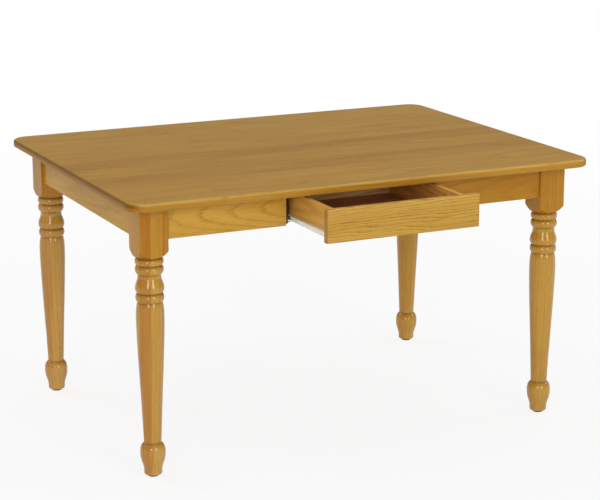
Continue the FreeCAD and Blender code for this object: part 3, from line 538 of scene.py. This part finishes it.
# Drawer slides. Rolled steel profiles, a channel on each rail and a runner under each drawer
# side, with a cream epoxy powder coat that cures with a slight orange peel and gathers dust.
PEEL, PEEL_DEPTH, DUST = 0.0022, 0.0003, 0.040
epoxy, tree, surface, place = new_finish("epoxy_powder_coat_cream")
peel = add(tree, "TexNoise", {"Vector": place, "Scale": 1 / PEEL, "Detail": 1.0}).outputs[0]
dust = add(tree, "TexNoise", {"Vector": place, "Scale": 1 / DUST, "Detail": 4.0}).outputs[0]
dust = add(tree, "MapRange", {0: dust, 1: 0.35, 2: 0.75}).outputs[0]
colour = add(tree, "Mix", {0: dust, 6: srgb("#f7f8ee"), 7: srgb("#eeefe0")}, data_type="RGBA").outputs[2]
tree.links.new(colour, surface.inputs["Base Color"])
rough = add(tree, "MapRange", {0: dust, 3: 0.32, 4: 0.48}).outputs[0]
tree.links.new(rough, surface.inputs["Roughness"])
relief = add(tree, "Bump", {"Strength": 0.15, "Distance": PEEL_DEPTH, "Height": peel}).outputs[0]
tree.links.new(relief, surface.inputs["Normal"])
surface.inputs["IOR"].default_value = 1.55
dress(epoxy, "slide_channel_left", "slide_channel_right", "slide_runner_left", "slide_runner_right")


# Slide rollers. Small black wheels moulded in nylon, which turn on steel axles. The mould leaves
# a fine grain that breaks up their gloss, drawn nearly 1 mm wide so that it shows.
NYLON_GRAIN = 0.0008
nylon, tree, surface, place = new_finish("moulded_nylon_black")
grain = add(tree, "TexNoise", {"Vector": place, "Scale": 1 / NYLON_GRAIN, "Detail": 2.0}).outputs[0]
colour = add(tree, "Mix", {0: grain, 6: srgb("#262524"), 7: srgb("#3a3937")}, data_type="RGBA").outputs[2]
tree.links.new(colour, surface.inputs["Base Color"])
rough = add(tree, "MapRange", {0: grain, 3: 0.35, 4: 0.55}).outputs[0]
tree.links.new(rough, surface.inputs["Roughness"])
surface.inputs["IOR"].default_value = 1.53
dress(nylon, "front_roller_left", "front_roller_right", "rear_roller_left", "rear_roller_right")


# Drawer front. One rift-sawn oak board whose rings cross its face as wavy lines from end to
# end. Stained and lacquered as the aprons, with dados in its back that the sides are glued into.
# Painted light on the drawer front: its top face and upper arris are painted lighter as a highlight, and
# its lowest 2 mm darker.
FRONT_HIGHLIGHT_TONES = [(0.0, (0.85,) * 3), (0.0020, PLAIN), (0.0845, PLAIN), (0.0865, (1.22, 1.20, 1.15))]
FRONT_RING = 0.0064
dress(lacquered_oak(
    "oak_satin_lacquer_drawer_front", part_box("drawer_front"), "X", (0.0, 0.06, -0.110), (-0.055, 0.06),
    FRONT_RING, "#caa24a", "#b78e39", tones=FRONT_HIGHLIGHT_TONES, bold=1.0, sway=0.048, early=0.26, jitter=0.013,
    ends=0.30), "drawer_front")


# Drawer box. Sides and back are thin boards of paler oak under a thin lacquer, painted paler still as
# painted light for the inside of the drawer. The back is glued into dados in the sides, and the sides into
# the front.
BOX_RING = 0.007
BOX_BOARDS = {
    "drawer_side_left": ("Y", (0.06, 0.0, 0.02), (0.0, 0.03), "#e3b057", "#d39e48"),
    "drawer_side_right": ("Y", (-0.05, 0.1, -0.01), (0.0, -0.04), "#eeb25e", "#dd9c50"),
    "drawer_back": ("X", (0.0, 0.07, 0.01), (0.0, 0.05), "#f0d29a", "#e4c084"),
}
for board, (fibre, heart, lean, pale, honey) in BOX_BOARDS.items():
    dress(lacquered_oak(
        "oak_thin_lacquer_painted_light_" + board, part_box(board), fibre, heart, lean, BOX_RING, pale, honey), board)


# Drawer bottom. A sheet of hardboard, wood fibre pressed hot into a dense brown board, smooth
# on its upper face, with a felted fibre figure. It slides into grooves in the front and sides.
FELT, FELT_DEPTH, BOARD_CLOUD = 0.0026, 0.0002, 0.055
hardboard, tree, surface, place = new_finish("hardboard_pressed_brown")
felt = add(tree, "TexNoise", {"Vector": place, "Scale": 1 / FELT, "Detail": 5.0,
                              "Distortion": 1.2}).outputs[0]
cloud = add(tree, "TexNoise", {"Vector": place, "Scale": 1 / BOARD_CLOUD, "Detail": 3.0}).outputs[0]
# These browns are painted lighter and redder than the board is: painted light for the shaded inside of the
# drawer.
colour = add(tree, "ValToRGB", {0: felt}, stops=[
    (0.30, srgb("#b96c3a")), (0.52, srgb("#c97a45")), (0.72, srgb("#d98c53"))]).outputs[0]
stain = add(tree, "MapRange", {0: cloud, 1: 0.4, 2: 0.7, 3: 0.0, 4: 0.3}).outputs[0]
colour = add(tree, "Mix", {0: stain, 6: colour, 7: srgb("#a45d32")}, data_type="RGBA").outputs[2]
tree.links.new(colour, surface.inputs["Base Color"])
relief = add(tree, "Bump", {"Strength": 0.2, "Distance": FELT_DEPTH, "Height": felt}).outputs[0]
tree.links.new(relief, surface.inputs["Normal"])
surface.inputs["Roughness"].default_value = 0.55
dress(hardboard, "drawer_bottom")


# Studio. A wide pale floor that keeps the table's shadow and glows white further off, a pale
# surround, and four soft boxes on stands: two in front, one behind at the left, one at the right.
FLOOR_SIZE = 80.0
GLOW_FROM, GLOW_TO, NEAR_GLOW = 1.5, 5.0, 0.85
floor_paint, tree, surface, place = new_finish("studio_floor_white_paint")
tree.nodes.remove(surface)
paint = add(tree, "BsdfDiffuse", {"Color": srgb("#f3f3f3")}).outputs[0]
glow = add(tree, "Emission", {"Color": srgb("#ffffff"), "Strength": 1.0}).outputs[0]
rays = add(tree, "LightPath").outputs
seen = add(tree, "Math", {0: rays["Is Camera Ray"], 1: rays["Is Glossy Ray"]},
           operation="MAXIMUM").outputs[0]
seen = add(tree, "Math", {0: seen, 1: rays["Is Transmission Ray"]}, operation="MAXIMUM").outputs[0]
away = add(tree, "VectorMath", {0: place}, operation="LENGTH").outputs["Value"]
away = add(tree, "MapRange", {0: away, 1: GLOW_FROM, 2: GLOW_TO, 3: NEAR_GLOW, 4: 1.0}).outputs[0]
seen = add(tree, "Math", {0: seen, 1: away}, operation="MULTIPLY").outputs[0]
mixed = add(tree, "MixShader", {0: seen, 1: paint, 2: glow}).outputs[0]
tree.links.new(mixed, tree.nodes["Material Output"].inputs["Surface"])
bpy.ops.object.select_all(action="DESELECT")
bpy.ops.mesh.primitive_plane_add(size=FLOOR_SIZE)
floor = bpy.context.object
floor.name = "studio_floor"
floor.data.materials.append(floor_paint)

surround = bpy.data.worlds.new("studio_surround")
surround.use_nodes = True
tree = surround.node_tree
place = add(tree, "TexCoord").outputs["Generated"]
height = add(tree, "SeparateXYZ", {0: place}).outputs["Z"]
sky = add(tree, "ValToRGB", {0: height}, stops=[
    (0.0, (1.0,) * 3), (0.05, (0.20,) * 3), (0.30, (0.26,) * 3), (1.0, (0.90,) * 3)]).outputs[0]
tree.links.new(sky, tree.nodes["Background"].inputs["Color"])
bpy.context.scene.world = surround

# Place, width, height and power of each soft box. All four face the middle of the table.
TABLE_MIDDLE = Vector((0.0, 0.081, 0.50))
SOFT_BOXES = {
    "soft_box_front_left": ((-6.81, -9.30, 3.61), 2.8, 4.6, 385.0),
    "soft_box_front_right": ((1.61, -11.40, 3.61), 2.8, 4.6, 385.0),
    "soft_box_back_left": ((-5.84, 8.42, 6.86), 4.0, 4.0, 200.0),
    "soft_box_right": ((10.56, -0.84, 6.13), 4.0, 4.0, 150.0),
}
for box_name, (spot, width, height, power) in SOFT_BOXES.items():
    lamp = bpy.data.lights.new(box_name, "AREA")
    lamp.shape = "RECTANGLE"
    lamp.size = width
    lamp.size_y = height
    lamp.energy = power
    stand = bpy.data.objects.new(box_name, lamp)
    stand.location = spot
    stand.visible_camera = False
    stand.rotation_euler = (TABLE_MIDDLE - Vector(spot)).to_track_quat("-Z", "Y").to_euler()
    bpy.context.scene.collection.objects.link(stand)

# The camera looks down by its dip, and turns from the back towards the right.
CAMERA_SPOT = (-2.2958, -4.7403, 1.8102)
CAMERA_DIP, CAMERA_TURN = 14.202, 25.681
lens = bpy.data.cameras.new("camera_front_left")
lens.sensor_width = 36.0
lens.lens = 113.556
lens.clip_end = 100.0
camera = bpy.data.objects.new("camera_front_left", lens)
camera.location = CAMERA_SPOT
camera.rotation_euler = (math.radians(90 - CAMERA_DIP), 0, math.radians(-CAMERA_TURN))
bpy.context.scene.collection.objects.link(camera)
bpy.context.scene.camera = camera
bpy.context.scene.view_settings.view_transform = "Standard"
